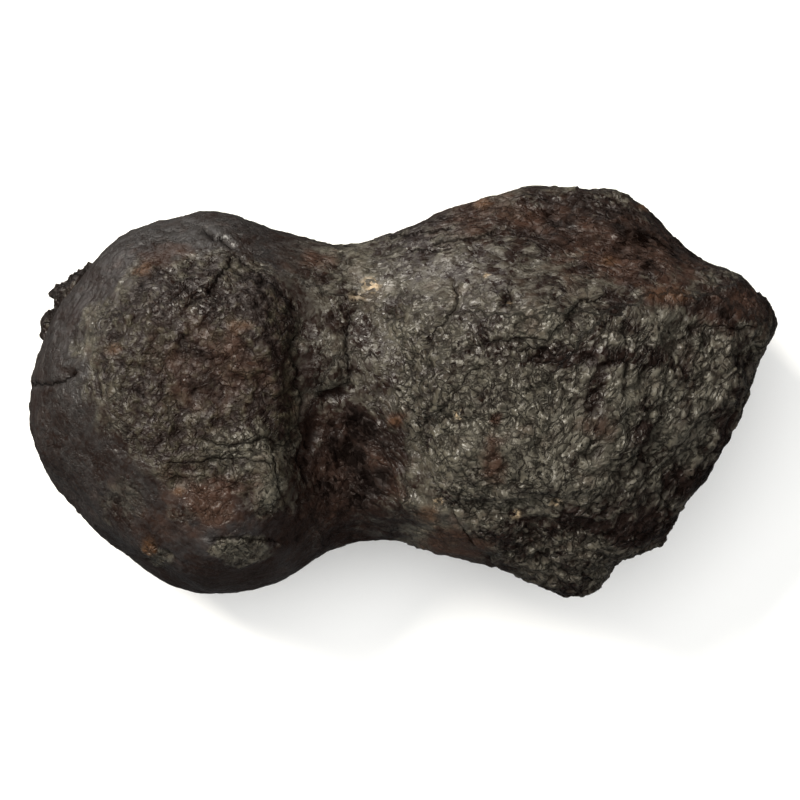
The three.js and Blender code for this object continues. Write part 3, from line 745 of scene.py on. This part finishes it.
def oiled_iron_crust(sizes, colours):
    """Magnetite and rust on nickel-iron, wiped with oil: dark, with a wet glint on every flake."""
    material, tree = new_material("oiled iron crust")
    place = add(tree, "ShaderNodeTexCoord").outputs["Object"]
    mark = {
        name: add(tree, "ShaderNodeAttribute", {"attribute_name": name}).outputs["Fac"]
        for name in MARKS
    }
    fabric = add(tree, "ShaderNodeAttribute", {"attribute_name": "fabric"}).outputs["Vector"]
    coarse, coarse_cells = tilted_grains(tree, fabric, sizes.grain, 1.0)
    fine, fine_cells = tilted_grains(tree, fabric, sizes.grain * 0.5, 0.8)
    swept = add(tree, "ShaderNodeMapping", {}, {"Vector": place, "Scale": (0.4, 0.4, 1)})
    silk = add(
        tree,
        "ShaderNodeTexNoise",
        {},
        {"Vector": swept, "Scale": 1 / (SILK_MM * MM), "Detail": 2},
    )
    lively = add(tree, "ShaderNodeMath", {"operation": "MULTIPLY_ADD"}, (mark["calm"], -0.7, 1))
    chance = add(tree, "ShaderNodeSeparateColor", {}, (coarse_cells.outputs["Color"],))
    fleck = add(tree, "ShaderNodeSeparateColor", {}, (fine_cells.outputs["Color"],))

    # Dark lines: the drawn cracks and the web of fissures, cut into the relief and painted with shade.
    jags = add(tree, "ShaderNodeTexNoise", {}, {"Vector": place, "Scale": 1 / (JAG_MM * MM), "Detail": 2})
    beside = add(tree, "ShaderNodeMath", {"operation": "MULTIPLY_ADD"}, (jags, 1.6, mark["crack"]))
    jagged = add(tree, "ShaderNodeMath", {"operation": "SUBTRACT"}, (beside, 0.8))
    from_crack = add(tree, "ShaderNodeMath", {"operation": "ABSOLUTE"}, (jagged,))
    gape = add(tree, "ShaderNodeMapRange", {}, (mark["mottle"], -0.4, 0.4, 0.15, 0.6))
    crack = add(
        tree,
        "ShaderNodeMapRange",
        {"interpolation_type": "SMOOTHSTEP"},
        (from_crack, 0, gape, 1, 0),
    )
    open_crack = add(tree, "ShaderNodeMath", {"operation": "MULTIPLY"}, (crack, mark["split"]))
    snapped = add(
        tree,
        "ShaderNodeVectorMath",
        {"operation": "MULTIPLY_ADD"},
        (coarse_cells.outputs["Color"], (CRINKLE_MM * MM,) * 3, fabric),
    )
    web = fissures(tree, snapped, sizes.web)
    crinkled = add(
        tree,
        "ShaderNodeVectorMath",
        {"operation": "MULTIPLY_ADD"},
        (jags.outputs["Color"], (CRINKLE_MM * MM,) * 3, fabric),
    )
    gaps = add(tree, "ShaderNodeMapRange", {"interpolation_type": "SMOOTHSTEP"}, (web, 0.9, 1.4, 0, 0.8))
    edges = add(
        tree,
        "ShaderNodeTexVoronoi",
        {"feature": "DISTANCE_TO_EDGE"},
        {"Vector": crinkled, "Scale": 1 / sizes.plate_crack},
    )
    parting = add(tree, "ShaderNodeMapRange", {}, (web, 0.3, 0.9, 0, 0.16))
    angular = add(
        tree,
        "ShaderNodeMapRange",
        {"interpolation_type": "SMOOTHSTEP"},
        (edges, 0, parting, 0.9, 0),
    )
    parted = add(tree, "ShaderNodeMath", {"operation": "MAXIMUM"}, (gaps, angular))
    unrubbed = add(
        tree,
        "ShaderNodeMath",
        {"operation": "MULTIPLY_ADD"},
        (mark["worn"], -0.3, mark["rough"]),
    )
    torn = add(tree, "ShaderNodeMath", {"operation": "MULTIPLY_ADD"}, (mark["calm"], -0.5, unrubbed))
    netted = add(tree, "ShaderNodeMath", {"operation": "MULTIPLY"}, (parted, torn))
    dark_lines = add(tree, "ShaderNodeMath", {"operation": "MAXIMUM"}, (open_crack, netted))

    # Colours: crust to flakes by tone, then rust, fresh rust, bare metal and painted glints, and
    # painted shade in every hollow, crack and fissure.
    lumps = add(
        tree,
        "ShaderNodeTexNoise",
        {},
        {"Vector": place, "Scale": 1 / (LUMP_MM * MM), "Detail": 2},
    )
    # The worn face's lumps: lighter where they rise, partly a painted highlight.
    lumpy = add(tree, "ShaderNodeMath", {"operation": "SUBTRACT"}, (lumps, 0.5))
    lumped = add(tree, "ShaderNodeMath", {"operation": "MULTIPLY"}, (lumpy, mark["worn"]))
    # The tone, with its painted sheen and shade, and a random mottle.
    based = add(tree, "ShaderNodeMath", {"operation": "ADD"}, (mark["tone"], mark["mottle"]))
    lifted = add(tree, "ShaderNodeMath", {"operation": "MULTIPLY_ADD"}, (lumped, LUMP_TONE, based))
    flecked_tone = add(
        tree,
        "ShaderNodeMath",
        {"operation": "MULTIPLY_ADD"},
        (fleck, FLECK_TONE, lifted),
    )
    # Wear and painted highlight on the crests.
    toned = add(
        tree,
        "ShaderNodeMath",
        {"operation": "MULTIPLY_ADD"},
        (mark["crest"], CREST_TONE, flecked_tone),
    )
    spread = add(tree, "ShaderNodeMath", {"operation": "MULTIPLY_ADD"}, (chance, GRAIN_TONE, toned))
    share = add(
        tree,
        "ShaderNodeMath",
        {"operation": "SUBTRACT", "use_clamp": True},
        (spread, FLAKE_START),
    )
    # Painted shade where the tone runs darkest.
    deep_shade = add(
        tree,
        "ShaderNodeMath",
        {"operation": "MULTIPLY_ADD", "use_clamp": True},
        (spread, -1.2, 0.4),
    )
    scaly = add(tree, "ShaderNodeMapRange", {}, (mark["rough"], 0.25, 0.55, 0, 1))
    skin = add(
        tree,
        "ShaderNodeMix",
        {"data_type": "RGBA"},
        {0: scaly, 6: colours.silk, 7: colours.flake},
    )
    rubbed_skin = add(
        tree,
        "ShaderNodeMix",
        {"data_type": "RGBA"},
        {0: mark["worn"], 6: skin, 7: colours.worn},
    )
    body = add(tree, "ShaderNodeMix", {"data_type": "RGBA"}, {0: share, 6: colours.crust, 7: rubbed_skin})
    patchy = add(
        tree,
        "ShaderNodeMath",
        {"operation": "MULTIPLY_ADD"},
        (mark["mottle"], 0.8, mark["rust"]),
    )
    rusty = add(tree, "ShaderNodeMapRange", {}, (patchy, 0.15, 0.85, 0, 0.9))
    rusted = add(tree, "ShaderNodeMix", {"data_type": "RGBA"}, {0: rusty, 6: body, 7: colours.rust})
    spotted = add(
        tree,
        "ShaderNodeMix",
        {"data_type": "RGBA"},
        {0: mark["amber"], 6: rusted, 7: colours.amber},
    )
    # Bare metal and painted glints, on the lighter flecks.
    bare = add(tree, "ShaderNodeMapRange", {}, (fleck, 0.3, 0.7, 0, 1))
    bared = add(tree, "ShaderNodeMath", {"operation": "MULTIPLY"}, (mark["bare_metal_and_glint"], bare))
    flecked = add(tree, "ShaderNodeMix", {"data_type": "RGBA"}, {0: bared, 6: spotted, 7: colours.bare_metal_and_glint})
    # Painted shade: the hollows, the dark lines and the darkest tone turn toward the crevice shade colour.
    shade = add(tree, "ShaderNodeMath", {"operation": "MULTIPLY"}, (mark["hollow"], 0.6))
    shaded = add(tree, "ShaderNodeMath", {"operation": "MAXIMUM"}, (deep_shade, shade))
    shade_share = add(tree, "ShaderNodeMath", {"operation": "MAXIMUM"}, (dark_lines, shaded))
    shade_darkening = add(tree, "ShaderNodeMath", {"operation": "MULTIPLY"}, (shade_share, 0.9))
    skinned = add(
        tree,
        "ShaderNodeMix",
        {"data_type": "RGBA"},
        {0: shade_darkening, 6: flecked, 7: colours.crevice_shade},
    )

    # Relief too fine for the mesh, in metres. The crust's finest crystals, under 0.2 mm, don't show
    # at this distance, so the fine grains are drawn at about half a millimetre.
    grains = add(tree, "ShaderNodeMath", {"operation": "ADD"}, (coarse, fine))
    calmed = add(tree, "ShaderNodeMath", {"operation": "MULTIPLY"}, (grains, lively))
    rubbed = add(
        tree,
        "ShaderNodeMath",
        {"operation": "MULTIPLY_ADD"},
        (mark["worn"], -0.8, mark["rough"]),
    )
    grained = add(tree, "ShaderNodeMath", {"operation": "MULTIPLY"}, (calmed, rubbed))
    lumpy_relief = add(
        tree,
        "ShaderNodeMath",
        {"operation": "MULTIPLY_ADD"},
        (lumped, LUMP_HEIGHT_MM * MM, grained),
    )
    silky = add(
        tree,
        "ShaderNodeMath",
        {"operation": "MULTIPLY_ADD"},
        (silk, SILK_HEIGHT_MM * MM, lumpy_relief),
    )
    cut = add(
        tree,
        "ShaderNodeMath",
        {"operation": "MULTIPLY_ADD"},
        (dark_lines, -LINE_DEPTH_MM * MM, silky),
    )
    riven = add(tree, "ShaderNodeMath", {"operation": "MULTIPLY"}, (web, torn))
    relief = add(
        tree,
        "ShaderNodeMath",
        {"operation": "MULTIPLY_ADD"},
        (riven, -FISSURE_DEPTH_MM * MM, cut),
    )
    bump = add(tree, "ShaderNodeBump", {}, {"Strength": 1, "Distance": 1, "Height": relief})
    glint = add(
        tree,
        "ShaderNodeMath",
        {"operation": "MULTIPLY_ADD"},
        (fleck, FLECK_ROUGHNESS, OILED_ROUGHNESS),
    )
    dulled = add(
        tree,
        "ShaderNodeMath",
        {"operation": "MULTIPLY_ADD"},
        (mark["worn"], WORN_ROUGHNESS, glint),
    )
    gloss = add(tree, "ShaderNodeMath", {"operation": "MULTIPLY_ADD"}, (shade_share, SHUT_ROUGHNESS, dulled))
    oily = add(
        tree,
        "ShaderNodeMath",
        {"operation": "MULTIPLY_ADD"},
        (mark["rust"], RUST_LEVEL, OILED_LEVEL),
    )
    sheen = add(tree, "ShaderNodeMath", {"operation": "MULTIPLY_ADD"}, (shade_share, SHUT_LEVEL, oily))
    shader = add(
        tree,
        "ShaderNodeBsdfPrincipled",
        {},
        {
            "Base Color": skinned,
            "Roughness": gloss,
            "IOR": 1.55,
            "Specular IOR Level": sheen,
            "Normal": bump,
        },
    )
    add(tree, "ShaderNodeOutputMaterial", {}, {"Surface": shader})
    return material


def matt_floor(tone):
    """Matt painted board: an even pale tone with no gloss to speak of."""
    material, tree = new_material("matt pale board")
    shader = add(
        tree,
        "ShaderNodeBsdfPrincipled",
        {},
        {"Base Color": tone, "Roughness": 0.9, "IOR": 1.45},
    )
    add(tree, "ShaderNodeOutputMaterial", {}, {"Surface": shader})
    return material


class METEORITE_OT_stone(bpy.types.Operator):
    """Model the stone over its solid, carve its crust and give it its finish"""

    bl_idname = "meteorite.stone"
    bl_label = "Stone"

    def execute(self, context):
        sizes, colours, stage = settings()
        stone = fine_mesh(sizes.grid)
        surface = Surface(stone.data, stage.camera_height)
        moved, marks = carve(surface, sizes)
        stone.data.vertices.foreach_set("co", (moved * MM).ravel())
        stone.data.update()
        for name, values in marks.items():
            store(stone.data, name, values)
        for face in stone.data.polygons:
            face.use_smooth = True
        thin(stone)
        stone.data.materials.append(oiled_iron_crust(sizes, colours))
        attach(stone, BODY)
        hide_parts(SOLID)
        return {"FINISHED"}


def softbox(name, width, power, place):
    """A square softbox that faces the middle of the stone."""
    light = bpy.data.lights.new(name, "AREA")
    light.size = width
    light.energy = power
    box = bpy.data.objects.new(name, light)
    box.location = place
    box.rotation_euler = (Vector((0, 0, 0.02)) - box.location).to_track_quat("-Z", "Y").to_euler()
    bpy.context.scene.collection.objects.link(box)
    return box


def lit_room(stage):
    """An even, dim room with one bright side, like a wall of windows low at the upper left."""
    world = bpy.data.worlds.new("room")
    world.use_nodes = True
    tree = world.node_tree
    tree.nodes.clear()
    way = add(tree, "ShaderNodeTexCoord").outputs["Generated"]
    facing = add(tree, "ShaderNodeVectorMath", {"operation": "DOT_PRODUCT"}, (way, WINDOW_WAY))
    share = add(
        tree,
        "ShaderNodeMapRange",
        {"interpolation_type": "SMOOTHSTEP"},
        (facing, *WINDOW_RIM, 0, 1),
    )
    strength = add(
        tree,
        "ShaderNodeMath",
        {"operation": "MULTIPLY_ADD"},
        (share, stage.window_light, stage.room_light),
    )
    background = add(tree, "ShaderNodeBackground", {}, {"Color": (1, 1, 1, 1), "Strength": strength})
    add(tree, "ShaderNodeOutputWorld", {}, {"Surface": background})
    return world


# Places, widths and tint of the stage's lights and floor, in metres, and the way to the window.
KEY_PLACE = (-0.5, 0.45, 0.68)
KEY_TINT = (1, 0.95, 0.86)
FILL_PLACE = (0.1, -0.1, 1.2)
FILL_WIDTH = 1.6
FLOOR_HALF_WIDTH = 2.5
WINDOW_WAY = (-0.62, 0.78, -0.1)
WINDOW_RIM = (0.84, 0.98)  # cosines of the angles from its middle at which it ends and is full


class METEORITE_OT_stage(bpy.types.Operator):
    """Lay the pale floor, hang the lights and set the camera straight above the stone"""

    bl_idname = "meteorite.stage"
    bl_label = "Stage"

    def execute(self, context):
        stage = settings()[2]
        shape = bmesh.new()
        bmesh.ops.create_grid(shape, x_segments=1, y_segments=1, size=FLOOR_HALF_WIDTH)
        mesh = bpy.data.meshes.new("floor")
        shape.to_mesh(mesh)
        shape.free()
        floor = bpy.data.objects.new("floor", mesh)
        context.scene.collection.objects.link(floor)
        mesh.materials.append(matt_floor(stage.floor_tone))
        floor.visible_glossy = False
        key = softbox("key", stage.key_width, stage.key_power, KEY_PLACE)
        key.data.color = KEY_TINT
        fill = softbox("fill", FILL_WIDTH, stage.fill_power, FILL_PLACE)
        fill.visible_glossy = False
        context.scene.world = lit_room(stage)
        camera_data = bpy.data.cameras.new("camera")
        camera = bpy.data.objects.new("camera", camera_data)
        context.scene.collection.objects.link(camera)
        context.scene.camera = camera
        frame_camera(camera, stage.camera_height)
        context.scene.view_settings.view_transform = "Standard"
        return {"FINISHED"}


# The photograph's frame: how much of its width the stone takes, and where the stone's middle is.
PHOTO_WIDTH_PX = 800
STONE_LENGTH_PX = 749
STONE_MIDDLE_PX = (403.5, 392)


def frame_camera(camera, height):
    """Puts the camera straight above, so that the stone fills the picture as in the photograph."""
    low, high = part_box(SOLID)
    pixel = (high.x - low.x) / STONE_LENGTH_PX
    middle = (low + high) / 2
    centre_px = PHOTO_WIDTH_PX / 2
    camera.location = (
        middle.x + (centre_px - STONE_MIDDLE_PX[0]) * pixel,
        middle.y + (STONE_MIDDLE_PX[1] - centre_px) * pixel,
        height,
    )
    distance = height - OUTLINE_LEVEL_MM * MM
    camera.data.lens = camera.data.sensor_width * distance / (PHOTO_WIDTH_PX * pixel)
    camera.data.clip_start = 0.05
    camera.data.clip_end = 20


class METEORITE_PT_panel(bpy.types.Panel):
    """The stone's settings and steps in the 3D view's sidebar"""

    bl_label = "Meteorite"
    bl_space_type = "VIEW_3D"
    bl_region_type = "UI"
    bl_category = "Meteorite"

    def draw(self, context):
        for group in settings():
            box = self.layout.box()
            for name in group.__annotations__:
                box.prop(group, name)
        for step in STEPS:
            self.layout.operator(step.bl_idname)


GROUPS = {
    "meteorite_sizes": MeteoriteSizes,
    "meteorite_colours": MeteoriteColours,
    "meteorite_stage": MeteoriteStage,
}
STEPS = (METEORITE_OT_stone, METEORITE_OT_stage)


def register():
    """Adds the settings, the steps and the panel to Blender."""
    for kind in (*GROUPS.values(), *STEPS, METEORITE_PT_panel):
        bpy.utils.register_class(kind)
    for name, kind in GROUPS.items():
        setattr(bpy.types.Scene, name, PointerProperty(type=kind))


def unregister():
    """Takes them out again."""
    for name in GROUPS:
        delattr(bpy.types.Scene, name)
    for kind in (METEORITE_PT_panel, *STEPS, *GROUPS.values()):
        bpy.utils.unregister_class(kind)


def main():
    """Registers the add-on and runs each step in order."""
    register()
    bpy.ops.meteorite.stone()
    bpy.ops.meteorite.stage()


if __name__ == "__main__":
    main()
